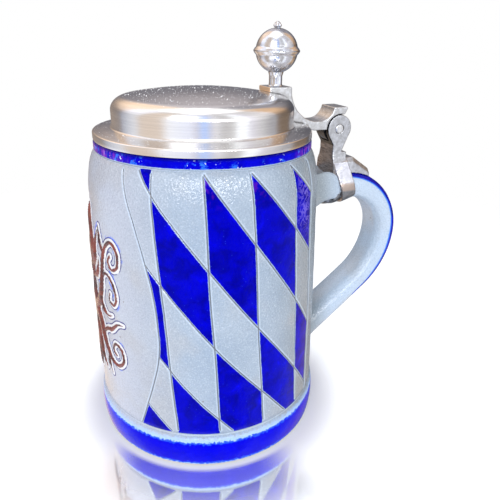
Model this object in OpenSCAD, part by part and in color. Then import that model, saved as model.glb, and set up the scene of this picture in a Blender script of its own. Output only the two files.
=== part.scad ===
// Half-litre stoneware stein with a hinged pewter lid and a ball thumblift.
// The origin is the centre of the foot, on the table. +Z is up, the handle points to +X,
// and the hinge pin lies along Y.

/* [Mug body] */
// Height of the mug from the table to the drinking rim
mug_h = 128.6; // [127:0.2:130]
// Largest radius of the foot band
foot_r = 51.2; // [50.6:0.1:52]
// Height of the groove above the foot band
foot_h = 15.8; // [14:0.2:18]
// Outer radius of the body just above the foot groove
body_low_r = 49.9; // [49.4:0.1:50.4]
// Outer radius of the body where the shoulder starts
body_high_r = 47.4; // [47:0.1:47.8]
// Height at which the shoulder starts to curve in
shoulder_z = 108; // [104:1:109]
// How far the shoulder would curve in, as a full quarter ellipse
shoulder_in = 5.5; // [5:0.1:6]
// Thickness of the side wall
wall = 6; // [5:0.5:7]
// Thickness of the floor
floor_t = 8; // [6:0.5:10]
// Inner radius of the mouth
mouth_r = 38.2; // [37:0.2:39]

/* [Handle] */
// Width of the handle, across the mug's tangent
handle_w = 18; // [16:0.5:20]
// Thickness of the handle
handle_t = 12; // [11:0.5:13]
// Rise of the handle's root above the horizontal, in degrees
root_rise = 14; // [12:1:16]
// Radius of the handle's upper bow, on its centre line
upper_bow_r = 25; // [24:0.5:26]
// Radius of the handle's lower bow, on its centre line
lower_bow_r = 34; // [32:0.5:36]
// Angle through which the lower bow turns
lower_bow_turn = 52; // [48:1:56]

/* [Lid] */
// Outer radius of the lid's brim
brim_r = 43.8; // [43.6:0.1:44.4]
// Thickness of the brim at its edge
brim_t = 3; // [2.6:0.1:3.4]
// Radius of the lid's raised drum
dome_r = 36.3; // [35.5:0.1:37]
// Height of the lid from the brim's underside to the centre of its crown
lid_h = 18.3; // [17.5:0.1:19]
// Thickness of the lid's wall
lid_wall = 1.8; // [1.4:0.1:2.2]

/* [Hinge] */
// Distance of the hinge pin from the mug's axis
pin_x = 61.4; // [61:0.1:62]
// Diameter of the hinge pin
pin_d = 2.6; // [2.2:0.1:3]
// Width of the whole hinge
hinge_w = 11.4; // [10.8:0.2:12]
// Thickness of each of the fork's cheeks
cheek_t = 2.6; // [2.4:0.1:2.8]
// Radius of the cheeks' round heads
cheek_r = 6; // [5.8:0.1:6.1]
// Width of the strap round the handle
strap_w = 7.2; // [6.4:0.2:8]
// Thickness of the strap's metal
strap_t = 1.6; // [1.2:0.1:2]

/* [Thumblift] */
// Distance of the thumblift's axis from the mug's axis
lift_x = 31.6; // [31:0.1:32]
// Height of the ball's centre above the table
ball_z = 160.4; // [160:0.1:162]
// Outer radius of the ball
ball_r = 8.6; // [8:0.1:9]
// Outer radius of the bead round the ball
bead_r = 9.5; // [9.3:0.1:10]
// Diameter of the thumblift's post
post_d = 5.4; // [5:0.1:6]

/* [Hidden] */
$fn = 96;
slip = 0.05;

// Body: outside profile and cavity
groove_d = 0.6;
foot_edge_r = 1.5;
shoulder_turn = 68;
shoulder_h = 17.5;
neck_r = body_high_r - shoulder_in * (1 - cos(shoulder_turn));
neck_z = shoulder_z + shoulder_h * sin(shoulder_turn);
lip_out_r = 1.2;
lip_in_r = 1.8;
cavity_fillet = 8;

// Handle: a straight root, two bows and a straight tail on one centre line
bow_c = [68.2, 76.8];
lower_bow_c = bow_c + [upper_bow_r - lower_bow_r, 0];
root_angle = 90 + root_rise;
root_start = bow_c + upper_bow_r * [cos(root_angle), sin(root_angle)];
root_len = 19;
tail_start = lower_bow_c + lower_bow_r * [cos(lower_bow_turn), -sin(lower_bow_turn)];
tail_len = 46;
root_swell = [1.35, 1.2];
root_swell_len = 10;
slice_t = 0.1;
run_lap = 1;

// Lid
brim_z = mug_h + slip;
crown_z = brim_z + lid_h;
brim_slope = 1.1;
corner = [7, 5.4];
corner_turn = 83;
corner_z = crown_z - 8.1;
dome_inside_r = dome_r - lid_wall;

// Hinge
pin_z = 128.4;
pin = [pin_x, pin_z];
pin_r = pin_d / 2;
plug_r = 2;
plug_t = 0.8;
recess_gap = 0.4;
knuckle_gap = 0.15;
knuckle_w = hinge_w - 2 * cheek_t - 2 * knuckle_gap;
slot_floor = pin_z - cheek_r - recess_gap - 0.1;
beak_top = pin_z + 9.4;
beak_tip_x = pin_x + 3.6;
neck_left = pin_x - 2.7;
neck_right = pin_x + 1.8;
tongue_top = 114.6;
tongue_bend_x = 71.6;
tongue_end_x = 80.8;
tongue_end_z = 108.4;
tongue_w = 10;
tongue_chamfer = 2;

// Thumblift
plate_top = 146.8;
plate_l = 10.1;
shell_t = 1.2;
bead_h = 1.2;
spigot_r = 1.4;
finial_z = 171.4;

// Points along an arc of a circle or, where r is a pair, of an ellipse
function arc(c, r, from, to, steps = 12) =
    let (rr = is_list(r) ? r : [r, r])
    [for (i = [0:steps]) let (a = from + (to - from) * i / steps) c + [rr[0] * cos(a), rr[1] * sin(a)]];

// Turns a drawing in X and Y into a slab in X and Z, centred on Y = 0
module slab(width) {
    rotate([90, 0, 0]) linear_extrude(width, center = true) children();
}

module along_pin(r, from, to) {
    translate([pin_x, to, pin_z]) rotate([90, 0, 0]) cylinder(r = r, h = to - from);
}

// ---- Mug ----

// The foot band swells a little at its middle
function foot_profile(steps = 8) =
    let (bottom = foot_edge_r, top = foot_h - 0.9)
    [for (i = [0:steps]) let (z = bottom + (top - bottom) * i / steps, u = 2 * i / steps - 1)
        [foot_r - 0.7 * u * u, z]];

module mug_outside() {
    rotate_extrude() polygon(concat(
        [[0, 0]],
        arc([foot_r - 0.7 - foot_edge_r, foot_edge_r], foot_edge_r, -90, -15, 5),
        foot_profile(),
        [[body_low_r - groove_d, foot_h], [body_low_r, foot_h + 0.9]],
        arc([body_high_r - shoulder_in, shoulder_z], [shoulder_in, shoulder_h], 0, shoulder_turn, 14),
        [[neck_r - groove_d, neck_z + 0.35], [neck_r - 0.1, neck_z + 0.9]],
        arc([neck_r - 0.1 - lip_out_r, mug_h - lip_out_r], lip_out_r, 0, 90, 5),
        [[0, mug_h]]
    ));
}

module cavity() {
    low_r = body_low_r - wall;
    rotate_extrude() polygon(concat(
        [[0, floor_t]],
        arc([low_r - cavity_fillet, floor_t + cavity_fillet], cavity_fillet, -90, 0, 8),
        [[body_high_r - wall, shoulder_z - 4], [mouth_r, mug_h - 6]],
        arc([mouth_r + lip_in_r, mug_h - lip_in_r], lip_in_r, 180, 90, 5),
        [[mouth_r + lip_in_r, mug_h + 1], [0, mug_h + 1]]
    ));
}

// Rounded cross-section of the handle, with its thickness along X and its width along Y
module handle_section(grow = 0, swell = [1, 1]) {
    exponent = 2 / 2.5;
    polygon([for (a = [0:10:350])
        [swell[0] * (handle_t / 2 + grow) * sign(cos(a)) * pow(abs(cos(a)), exponent),
         swell[1] * (handle_w / 2 + grow) * sign(sin(a)) * pow(abs(sin(a)), exponent)]]);
}

// A straight run of the section from a point, along a direction above the X axis
module handle_straight(start, angle, length, grow = 0) {
    translate([start[0], 0, start[1]])
        rotate([0, -angle, 0]) rotate([0, 90, 0]) linear_extrude(length) handle_section(grow);
}

module handle_bow(c, r, from, to, grow = 0) {
    translate([c[0], 0, c[1]]) rotate([90, 0, 0]) rotate([0, 0, from])
        rotate_extrude(angle = to - from) translate([r, 0]) handle_section(grow);
}

module root_slice(distance, swell) {
    translate([root_start[0], 0, root_start[1]]) rotate([0, -root_rise, 0])
        translate([-distance, 0, 0]) rotate([0, 90, 0])
            linear_extrude(slice_t) handle_section(0, swell);
}

// Each run laps over the one before it and is a hair fuller, so that they fuse into one solid
module handle_run(grow = 0) {
    hair = 0.06;
    handle_bow(bow_c, upper_bow_r, 0, root_angle, grow);
    handle_straight(root_start + run_lap * [cos(root_rise), sin(root_rise)],
        180 + root_rise, root_len + run_lap, grow + hair);
    handle_bow(lower_bow_c, lower_bow_r, -lower_bow_turn, 2, grow + hair);
    handle_straight(tail_start + run_lap * [sin(lower_bow_turn), cos(lower_bow_turn)],
        270 - lower_bow_turn, tail_len, grow + 2 * hair);
}

// The root swells where it meets the body
module handle_root() {
    hull() {
        root_slice(root_len - root_swell_len, [0.96, 0.96]);
        root_slice(root_len, root_swell);
    }
}

module mug() {
    color("gainsboro") difference() {
        union() {
            mug_outside();
            handle_run();
            handle_root();
        }
        cavity();
    }
}

// ---- Lid ----

module lid_outside() {
    rotate_extrude() polygon(concat(
        [[0, brim_z], [brim_r - 0.4, brim_z]],
        arc([brim_r - 0.5, brim_z + brim_t - 0.5], 0.5, 0, 80, 3),
        [[dome_r + 1, brim_z + brim_t + brim_slope]],
        arc([dome_r + 1, brim_z + brim_t + brim_slope + 1], 1, 270, 180, 4),
        arc([dome_r - corner[0], corner_z], corner, 0, corner_turn, 8),
        crown_profile(0)
    ));
}

// The crown is a shallow cap from the drum's corner up to the axis
function crown_profile(drop, steps = 8) =
    let (edge_r = dome_r - corner[0] + corner[0] * cos(corner_turn),
         edge_z = corner_z + corner[1] * sin(corner_turn))
    [for (i = [1:steps]) let (u = 1 - i / steps)
        [edge_r * u, crown_z - drop - (crown_z - edge_z) * u * u]];

module lid() {
    color("silver") difference() {
        lid_outside();
        rotate_extrude() polygon(concat(
            [[0, brim_z - 1], [dome_inside_r, brim_z - 1]],
            arc([dome_r - corner[0], corner_z], corner - [lid_wall, lid_wall], 0, corner_turn, 8),
            crown_profile(lid_wall)
        ));
    }
}

// ---- Lid shank: plate, arm, beak and knuckle in one casting ----

module shank_outline() {
    arm_top = 132.1;
    arm_bottom = 128.25;
    sweep_r = 13.9;
    beak_inner_r = 6.8;
    beak_inner_c = [51.3, arm_top + beak_inner_r];
    recess_r = cheek_r + recess_gap;
    plate_in = lift_x - plate_l / 2;
    plate_out = lift_x + plate_l / 2;
    polygon(concat(
        [[plate_in, plate_top - 8], [plate_in, plate_top], [plate_out, plate_top]],
        arc([50.5, arm_top + sweep_r], sweep_r, 187, 270, 14),
        arc(beak_inner_c, beak_inner_r, -84, -9, 8),
        [[beak_inner_c[0] + beak_inner_r, beak_top], [beak_tip_x - 0.4, beak_top], [beak_tip_x, beak_top - 0.6]],
        arc(pin, recess_r, 71, 180, 16),
        [[pin_x - recess_r, arm_bottom], [48.4, arm_bottom], [brim_r, brim_z + brim_t - 1.6],
         [brim_r - 4, brim_z + 1]]
    ));
}

module lid_shank() {
    color("silver") difference() {
        union() {
            slab(hinge_w) shank_outline();
            along_pin(cheek_r + recess_gap, -knuckle_w / 2, knuckle_w / 2);
        }
        lid_outside();
        along_pin(pin_r + slip, -hinge_w, hinge_w);
    }
}

// ---- Thumblift ----

module thumblift_post() {
    flare = 0.6;
    post_top = ball_z - sqrt(ball_r * ball_r - post_d * post_d / 4);
    color("silver") translate([lift_x, 0, 0]) rotate_extrude() polygon(concat(
        [[0, plate_top], [post_d / 2 + flare, plate_top]],
        arc([post_d / 2 + flare, plate_top + 2 * flare], [flare, 2 * flare], 270, 180, 5),
        [[post_d / 2, post_top - 0.3], [spigot_r, post_top - 0.3],
         [spigot_r, post_top + shell_t + 1.5], [0, post_top + shell_t + 1.5]]
    ));
}

// One half of the hollow ball, mouth down at z = 0, with a spigot hole at its pole
module half_ball(pole_hole_r, flat_r) {
    flat_a = acos(flat_r / ball_r);
    difference() {
        rotate_extrude() polygon(concat(
            [[0, 0], [bead_r - 0.3, 0], [bead_r, 0.3], [ball_r + 0.1, bead_h]],
            arc([0, 0], ball_r, asin(bead_h / ball_r), flat_a, 16),
            [[0, ball_r * sin(flat_a)]]
        ));
        sphere(ball_r - shell_t);
        cylinder(r = pole_hole_r, h = ball_r + 1);
    }
}

module ball_lower() {
    color("silver") translate([lift_x, 0, ball_z]) mirror([0, 0, 1])
        half_ball(spigot_r, post_d / 2);
}

module ball_upper() {
    color("silver") translate([lift_x, 0, ball_z]) half_ball(1, 1.6);
}

// A small lobed bead: two stacked rings of lobes round a core, on a spigot
module finial() {
    seat = ball_z + sqrt(ball_r * ball_r - 1.6 * 1.6);
    lobe_r = 0.72;
    color("silver") translate([lift_x, 0, 0]) {
        translate([0, 0, seat - shell_t - 1]) cylinder(r = 1, h = shell_t + 1.4);
        translate([0, 0, seat]) cylinder(r = 1.15, h = finial_z - seat - 0.5);
        translate([0, 0, finial_z - 1.2]) sphere(1.2, $fn = 32);
        for (i = [0:5])
            rotate([0, 0, 60 * i]) translate([1.05, 0, seat + 0.95]) sphere(lobe_r, $fn = 24);
    }
}

// ---- Handle clamp: fork, saddle, tongue and strap in one casting ----

module fork_outline() {
    flare_r = 3.2;
    polygon(concat(
        arc(pin, cheek_r, -35, 208, 24),
        [[neck_left, slot_floor - 0.5], [neck_left + 0.3, 112], [neck_left - 0.6, 106],
         [neck_right + flare_r, 104], [neck_right + flare_r, tongue_top]],
        arc([neck_right + flare_r, tongue_top + flare_r], flare_r, 260, 180, 6)
    ));
}

module tongue() {
    slope = atan2(tongue_top - tongue_end_z, tongue_end_x - tongue_bend_x);
    difference() {
        slab(tongue_w) polygon([
            [neck_right, 102], [neck_right, tongue_top], [tongue_bend_x, tongue_top],
            [tongue_end_x, tongue_end_z], [tongue_end_x, 100]
        ]);
        for (side = [-1, 1]) {
            translate([tongue_bend_x, side * tongue_w / 2, tongue_top])
                rotate([0, slope, 0]) rotate([45, 0, 0])
                    cube([40, tongue_chamfer, tongue_chamfer] * 1.414, center = true);
            translate([neck_right, side * tongue_w / 2, tongue_top])
                rotate([45, 0, 0])
                    cube([tongue_bend_x, tongue_chamfer, tongue_chamfer] * 1.414, center = true);
        }
    }
}

// The fork's flanks spread into the strap over the handle's shoulders
module saddle() {
    half = hinge_w / 2;
    spread = 7.3;
    translate([neck_left, 0, 0]) rotate([90, 0, 90]) linear_extrude(strap_w) polygon([
        [-half, 118], [-half - 0.4, 115.4], [-spread, 113.2], [-spread - 0.8, 104],
        [spread + 0.8, 104], [spread, 113.2], [half + 0.4, 115.4], [half, 118]
    ]);
}

module strap() {
    lean = root_rise + 2;
    axis_point = [66, 101.6];
    shoulder_up = 12.2;
    translate([axis_point[0], 0, axis_point[1]]) rotate([0, -lean, 0])
        translate([-strap_w / 2, 0, 0]) rotate([90, 0, 90]) linear_extrude(strap_w) union() {
            rotate(90) handle_section(strap_t);
            polygon([
                [-7.3, shoulder_up], [-handle_w / 2 - strap_t, 1], [-handle_w / 2 - strap_t, 0],
                [handle_w / 2 + strap_t, 0], [handle_w / 2 + strap_t, 1], [7.3, shoulder_up]
            ]);
        }
}

module handle_clamp() {
    seat_r = cheek_r + recess_gap + 0.1;
    color("silver") difference() {
        union() {
            slab(hinge_w) fork_outline();
            saddle();
            tongue();
            strap();
        }
        handle_run(slip / 2);
        along_pin(seat_r, -knuckle_w / 2 - knuckle_gap, knuckle_w / 2 + knuckle_gap);
        translate([pin_x - 10, -knuckle_w / 2 - knuckle_gap, pin_z])
            cube([20, knuckle_w + 2 * knuckle_gap, 20]);
        along_pin(pin_r, -hinge_w, hinge_w);
        along_pin(plug_r, -hinge_w, -hinge_w / 2 + plug_t);
        along_pin(plug_r, hinge_w / 2 - plug_t, hinge_w);
    }
}

// ---- Hinge pin and the plugs that hide its ends ----

module hinge_pin() {
    half = hinge_w / 2 - plug_t;
    color("slategray") along_pin(pin_r, -half, half);
}

module pin_plug(side) {
    dome = 0.25;
    color("silver") translate([pin_x, side * (hinge_w / 2 - plug_t), pin_z])
        rotate([side * -90, 0, 0]) rotate_extrude() polygon([
            [0, 0], [plug_r, 0], [plug_r, plug_t], [plug_r - 0.5, plug_t + dome], [0, plug_t + dome]
        ]);
}

module pin_plug_near() {
    pin_plug(-1);
}

module pin_plug_far() {
    pin_plug(1);
}

mug();
lid();
lid_shank();
thumblift_post();
ball_lower();
ball_upper();
finial();
handle_clamp();
hinge_pin();
pin_plug_near();
pin_plug_far();
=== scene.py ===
"""Looks of the half-litre stoneware stein: salt glaze with cobalt lozenges, pewter lid and hinge.

Lengths are in millimetres until a mesh is made; MM turns them into metres.
Angles round the mug are in degrees from the handle, and the near side is negative.
"""

import math

import bmesh
import bpy
import numpy as np
from mathutils import Matrix, Vector
from mathutils.geometry import delaunay_2d_cdt


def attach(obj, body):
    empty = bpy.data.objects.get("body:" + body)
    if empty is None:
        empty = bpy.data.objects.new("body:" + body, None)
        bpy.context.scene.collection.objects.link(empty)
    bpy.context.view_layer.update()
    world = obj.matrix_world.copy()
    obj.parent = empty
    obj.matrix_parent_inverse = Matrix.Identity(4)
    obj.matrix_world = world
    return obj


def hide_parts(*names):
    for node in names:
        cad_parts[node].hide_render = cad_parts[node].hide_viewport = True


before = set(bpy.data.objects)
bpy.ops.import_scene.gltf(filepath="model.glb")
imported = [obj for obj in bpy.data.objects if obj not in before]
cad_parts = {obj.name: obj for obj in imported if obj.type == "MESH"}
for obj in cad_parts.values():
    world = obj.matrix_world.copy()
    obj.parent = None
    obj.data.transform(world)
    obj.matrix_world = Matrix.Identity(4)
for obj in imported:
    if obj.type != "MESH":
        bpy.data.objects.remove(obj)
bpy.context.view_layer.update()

MM = 0.001
TAU = 2 * math.pi
SEGMENTS = 288
# Turned profiles stop this close to the axis
AXIS_R = 0.02
WELD_GAP = 0.01
# Distances to paint, lines and ornament are kept up to here
FAR = 6.0

# Body profile
FOOT_R, FOOT_TOP, FOOT_EDGE = 51.2, 14.9, 1.5
GROOVE_R, GROOVE_Z = 49.3, 15.8
WALL_LOW_R, WALL_LOW_Z = 49.9, 16.7
WALL_HIGH_R, SHOULDER_Z = 47.4, 108.0
SHOULDER_IN, SHOULDER_H, SHOULDER_TURN = 5.5, 17.5, 68
NECK_Z = SHOULDER_Z + SHOULDER_H * math.sin(math.radians(SHOULDER_TURN))
RIM_R, RIM_Z, MUG_H = 43.86, 125.13, 128.6
MOUTH_R, FLOOR_T = 38.2, 8.0
UNROLL_R = 48.5


def smooth(x, lo, hi):
    t = np.clip((np.asarray(x, float) - lo) / (hi - lo), 0, 1)
    return t * t * (3 - 2 * t)


def bump(x, centre, width):
    return np.exp(-(((np.asarray(x, float) - centre) / width) ** 2))


def wall_radius(z):
    """Radius of the plain wall, without relief."""
    z = np.asarray(z, float)
    straight = WALL_LOW_R + (WALL_HIGH_R - WALL_LOW_R) * (z - WALL_LOW_Z) / (SHOULDER_Z - WALL_LOW_Z)
    rise = np.clip((z - SHOULDER_Z) / SHOULDER_H, 0, 0.999)
    curved = WALL_HIGH_R - SHOULDER_IN * (1 - np.sqrt(1 - rise**2))
    return np.where(z > SHOULDER_Z, curved, straight)


def arc(centre, radii, start, end, steps):
    """Points on an ellipse, in (radius, height)."""
    angles = np.radians(np.linspace(start, end, steps + 1))
    return [(centre[0] + radii[0] * math.cos(a), centre[1] + radii[1] * math.sin(a)) for a in angles]


# ---- Meshes ----


def link(name, data):
    """A new object of the data, in the scene."""
    obj = bpy.data.objects.new(name, data)
    bpy.context.scene.collection.objects.link(obj)
    return obj


def dress(obj, material, body, node=None):
    """Gives a visual piece its material and body, and hides the CAD node that it stands in for."""
    obj.data.materials.append(material)
    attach(obj, body)
    if node:
        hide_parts(node)


def new_object(name, verts, faces, attributes=None):
    """A smooth-shaded mesh object from points in millimetres."""
    mesh = bpy.data.meshes.new(name)
    mesh.from_pydata([tuple(v) for v in np.asarray(verts, float) * MM], [], faces)
    for key, values in (attributes or {}).items():
        attribute = mesh.attributes.new(key, "FLOAT", "POINT")
        attribute.data.foreach_set("value", np.asarray(values, np.float32))
    obj = link(name, mesh)
    weld(mesh)
    mesh.shade_smooth()
    return obj


def weld(mesh):
    """Joins the seams and turns every face outwards."""
    work = bmesh.new()
    work.from_mesh(mesh)
    bmesh.ops.remove_doubles(work, verts=work.verts, dist=WELD_GAP * MM)
    bmesh.ops.recalc_face_normals(work, faces=work.faces)
    work.to_mesh(mesh)
    work.free()


def revolve(profile, segments=SEGMENTS, shape=None):
    """Vertices and faces of a (radius, height) profile turned about Z. shape(r, z, angles) may bend it."""
    angles = np.arange(segments) * TAU / segments
    verts, faces = [], []
    for r, z in profile:
        radii = np.full(segments, r) if shape is None else shape(r, z, angles)
        verts += [(q * math.cos(a), q * math.sin(a), z) for q, a in zip(radii, angles)]
    for i in range(len(profile) - 1):
        for j in range(segments):
            k = (j + 1) % segments
            faces.append([i * segments + j, i * segments + k, (i + 1) * segments + k, (i + 1) * segments + j])
    return verts, faces


# ---- Incised lozenge pattern ----

# Read off the photo by eye, carried onto the wall by a measuring script through a fitted camera, and
# kept as printed or moved slightly by hand. V_LINES: angles in degrees at the top and the bottom.
# DIAGONALS and PANEL_EDGE: angle in degrees and height in mm.
V_LINES = [(-131.9, -123.0), (-108.9, -103.0), (-88.0, -81.3), (-64.0, -58.8), (-48.8, -46.3)]
V_TOP, V_BOTTOM = 124.0, 16.0
DIAGONALS = [
    ((-64.1, 123.6), (-47.6, 110.4)),
    ((-88.2, 124.2), (-48.5, 86.5)),
    ((-109.0, 124.2), (-47.3, 52.9)),
    ((-138.7, 124.7), (-46.3, 19.9)),
    ((-134.1, 88.5), (-66.2, 15.6)),
    ((-131.0, 52.0), (-96.0, 15.8)),
    ((-137.1, 27.7), (-124.6, 16.3)),
]
PANEL_EDGE = [
    (148.4, 131.0), (146.9, 122.0), (143.9, 113.8), (136.7, 93.8), (132.0, 78.0), (130.3, 61.0),
    (130.3, 52.0), (134.2, 38.3), (142.4, 16.4), (146.0, 7.0),
]
TURN_SUM = V_TOP + V_BOTTOM
LINE_STEP = 1.0
LINE_ROWS = (0.16, 0.34, 0.56, 0.82, 1.15, 1.6)
END_GAP = 0.45


def v_angle(index, z):
    """Angle of an upright line at a height; it wavers as if drawn by hand."""
    top, bottom = V_LINES[index]
    z = np.asarray(z, float)
    waver = 0.18 * np.sin(z / 9.0 + 2.1 * index) + 0.12 * np.sin(z / 21.0 + index)
    return top + (bottom - top) * (V_TOP - z) / (V_TOP - V_BOTTOM) + waver


def diagonal_height(index, angle):
    (a0, z0), (a1, z1) = DIAGONALS[index]
    angle = np.asarray(angle, float)
    waver = 0.22 * np.sin(angle / 7.0 + 1.7 * index)
    return z0 + (z1 - z0) * (angle - a0) / (a1 - a0) + waver


def panel_edge(z):
    """Angle from the handle at which the lozenge panel ends."""
    knots = np.array(PANEL_EDGE[::-1])
    z = np.asarray(z, float)
    total = 0
    for shift in (-6, -3, 0, 3, 6):
        total = total + np.interp(z + shift, knots[:, 1], knots[:, 0])
    return total / 5


def to_near_side(angle, z):
    """Maps a point of the far panel onto the near one by half a turn, so that both lean the same way."""
    far = angle > 0
    return np.where(far, -angle, angle), np.where(far, TURN_SUM - z, z)


def inside_panel(angle, z):
    near, turned = to_near_side(angle, z)
    return (near < v_angle(4, turned)) & (np.abs(angle) < panel_edge(z))


def is_cobalt(angle, z):
    """The lozenges change colour across every line, like a chessboard."""
    near, turned = to_near_side(angle, z)
    above = sum((diagonal_height(i, near) > turned).astype(int) for i in range(len(DIAGONALS)))
    column = sum((near > v_angle(i, turned)).astype(int) for i in range(4))
    return ((above + column) % 2 == 1) & inside_panel(angle, z)


def unroll(angle, z):
    return np.stack([np.radians(np.asarray(angle, float) % 360) * UNROLL_R, np.asarray(z, float)], -1)


def pattern_lines():
    """Every incised line as (points in unrolled millimetres), both panels."""
    heights = np.arange(V_BOTTOM, V_TOP + 1, LINE_STEP)
    near = [(v_angle(i, heights), heights) for i in range(5)]
    for i, ((a0, _), (a1, _)) in enumerate(DIAGONALS):
        slope = math.hypot(1, math.radians(1) * UNROLL_R)
        angles = np.arange(a0 - 4, a1 + 4, LINE_STEP / slope / 1.15)
        near.append((angles, diagonal_height(i, angles)))
    lines = []
    for angle, z in near:
        for a, h in ((angle, z), (-angle, TURN_SUM - z)):
            near_edge = np.abs(to_near_side(a, h)[0] - v_angle(4, to_near_side(a, h)[1])) < 0.01
            keep = inside_panel(a, h) | near_edge
            keep &= (h > WALL_LOW_Z + END_GAP) & (h < NECK_Z - END_GAP)
            if keep.sum() > 3:
                lines.append(unroll(a[keep], h[keep]))
    rows = np.arange(WALL_LOW_Z + END_GAP, NECK_Z - END_GAP, LINE_STEP)
    for side in (-1, 1):
        lines.append(unroll(side * panel_edge(rows), rows))
    return lines


def polyline_distance(points, line, widths=None):
    """Distance from a polyline, less its half-width where it has one, up to FAR."""
    best = np.full(len(points), FAR)
    lo, hi = line.min(0) - FAR, line.max(0) + FAR
    near = np.all((points > lo) & (points < hi), axis=1)
    if not near.any():
        return best
    p = points[near][:, None, :]
    a, step = line[:-1], line[1:] - line[:-1]
    t = np.clip(((p - a) * step).sum(-1) / np.maximum((step**2).sum(-1), 1e-9), 0, 1)
    d = np.linalg.norm(p - a - t[..., None] * step, axis=-1)
    if widths is not None:
        d = d - (widths[:-1] + t * (widths[1:] - widths[:-1]))
    best[near] = np.minimum(d.min(1), FAR)
    return best


# ---- Leaf-scroll relief opposite the handle ----

# Strokes of one half: points (across from the middle, up), and half-widths at the start, middle and end
SCROLL_STROKES = [
    ([(0, 57.5), (0, 62.5)], (3.6, 4.0, 3.6)),
    (
        [(2, 61), (8, 66), (12.5, 75), (14.5, 84), (18, 91.6), (23, 94.4), (27, 91), (26.6, 85.4),
         (22.4, 83.2), (19.8, 86), (21.6, 88.6)],
        (2.6, 1.5, 1.1),
    ),
    (
        [(2, 59), (8, 54), (12.4, 46.6), (17.6, 41), (23, 39.8), (27, 43.4), (26, 48.6), (21.6, 49.8),
         (19.4, 46.6), (21.8, 44.4)],
        (2.6, 1.5, 1.1),
    ),
    (
        [(13.4, 78.5), (17.6, 80), (22.4, 77.4), (24.6, 72), (22.4, 67.8), (18.8, 69.2), (19.6, 72.2)],
        (1.2, 1.3, 0.9),
    ),
    ([(10, 51), (14.4, 54.2), (19.4, 56), (24, 59.6), (28.4, 60.6)], (0.9, 1.9, 0.4)),
    ([(9.4, 67.6), (12.2, 63.4), (16.2, 61.4), (20.6, 62.6)], (0.8, 1.7, 0.4)),
    ([(0, 76), (0, 84), (0, 94), (0, 105)], (0.9, 3.3, 0.5)),
    ([(0, 64), (0, 70), (0, 78)], (1.4, 0.9, 0.9)),
    ([(0, 78), (4.6, 83), (6.6, 90), (10.4, 96.4)], (0.9, 1.9, 0.4)),
    ([(0, 74), (5, 75.4), (8.4, 79.4), (9.6, 84.4)], (0.9, 1.5, 0.4)),
    ([(0, 56), (0, 47), (0, 38), (0, 29)], (1.4, 2.9, 0.4)),
    ([(0, 47), (4, 43.4), (6.6, 37.6), (10.4, 33)], (0.9, 1.7, 0.4)),
    ([(16, 88.4), (13, 93), (12.4, 99)], (1.1, 1.6, 0.4)),
    ([(15, 43.4), (14.4, 38), (16.6, 33)], (1.1, 1.6, 0.4)),
]
SCROLL_PITCH = 0.5
SCROLL_REACH = 2.6


def spline(points, steps=7):
    """Smooth curve through the points."""
    p = np.array([points[0]] + list(points) + [points[-1]], float)
    out = []
    for i in range(1, len(p) - 2):
        for t in np.arange(steps) / steps:
            a, b, c, d = p[i - 1 : i + 3]
            bend, twist = 2 * a - 5 * b + 4 * c - d, 3 * b - a - 3 * c + d
            out.append(0.5 * (2 * b + (c - a) * t + bend * t**2 + twist * t**3))
    return np.array(out + [p[-2]])


def scroll_strokes():
    """Both halves of the ornament in unrolled millimetres, with half-widths."""
    middle = math.pi * UNROLL_R
    strokes = []
    for points, widths in SCROLL_STROKES:
        curve = spline(points)
        outer = smooth(np.abs(curve[:, 0]), 6, 16)
        width = np.interp(np.linspace(0, 1, len(curve)), (0, 0.45, 1), widths) * (1 - 0.42 * outer)
        for side in (-1, 1):
            strokes.append((np.stack([middle + 0.88 * side * curve[:, 0], curve[:, 1]], -1), width))
    return strokes


def scroll_distance(points):
    """Signed distance from the ornament's edge, softly joined where strokes meet."""
    total = np.zeros(len(points))
    sharp = 4.0
    for line, widths in scroll_strokes():
        total += np.exp(-sharp * polyline_distance(points, line, widths))
    return np.minimum(-np.log(total + 1e-12) / sharp, FAR)


# ---- Mug body ----


def wall_points(lines):
    """Points and fixed edges of the unrolled wall: its rim, rows beside each line, ornament and filling."""
    width = TAU * UNROLL_R
    across = np.linspace(0, width, SEGMENTS + 1)
    upright = np.linspace(WALL_LOW_Z, NECK_Z, 60)
    points, edges = [], []

    def add_chain(chain):
        start = len(points)
        points.extend(map(tuple, chain))
        edges.extend((start + i, start + i + 1) for i in range(len(chain) - 1))

    for z in (WALL_LOW_Z, NECK_Z):
        add_chain([(u, z) for u in across])
    for u in (0.0, width):
        points.extend((u, z) for z in upright[1:-1])
    clear = []
    for line in lines:
        add_chain(line)
        tangent = np.gradient(line, axis=0)
        tangent /= np.linalg.norm(tangent, axis=1)[:, None]
        normal = np.stack([-tangent[:, 1], tangent[:, 0]], -1)
        for row in LINE_ROWS:
            for side in (-1, 1):
                clear.append(line + side * row * normal)
    clear = np.concatenate(clear)
    points.extend(map(tuple, inside_sheet(clear)))
    points.extend(map(tuple, inside_sheet(ornament_grid())))
    points.extend(map(tuple, inside_sheet(filling(lines))))
    return points, edges


def inside_sheet(p, margin=0.35):
    keep = (p[:, 1] > WALL_LOW_Z + margin) & (p[:, 1] < NECK_Z - margin)
    keep &= (p[:, 0] > margin) & (p[:, 0] < TAU * UNROLL_R - margin)
    return p[keep]


def ornament_grid():
    middle = math.pi * UNROLL_R
    u, z = np.meshgrid(np.arange(middle - 34, middle + 34, SCROLL_PITCH), np.arange(26, 111, SCROLL_PITCH))
    u = u + SCROLL_PITCH / 2 * (np.arange(len(u)) % 2)[:, None]
    p = np.stack([u.ravel(), z.ravel()], -1)
    return p[scroll_distance(p) < SCROLL_REACH]


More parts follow.
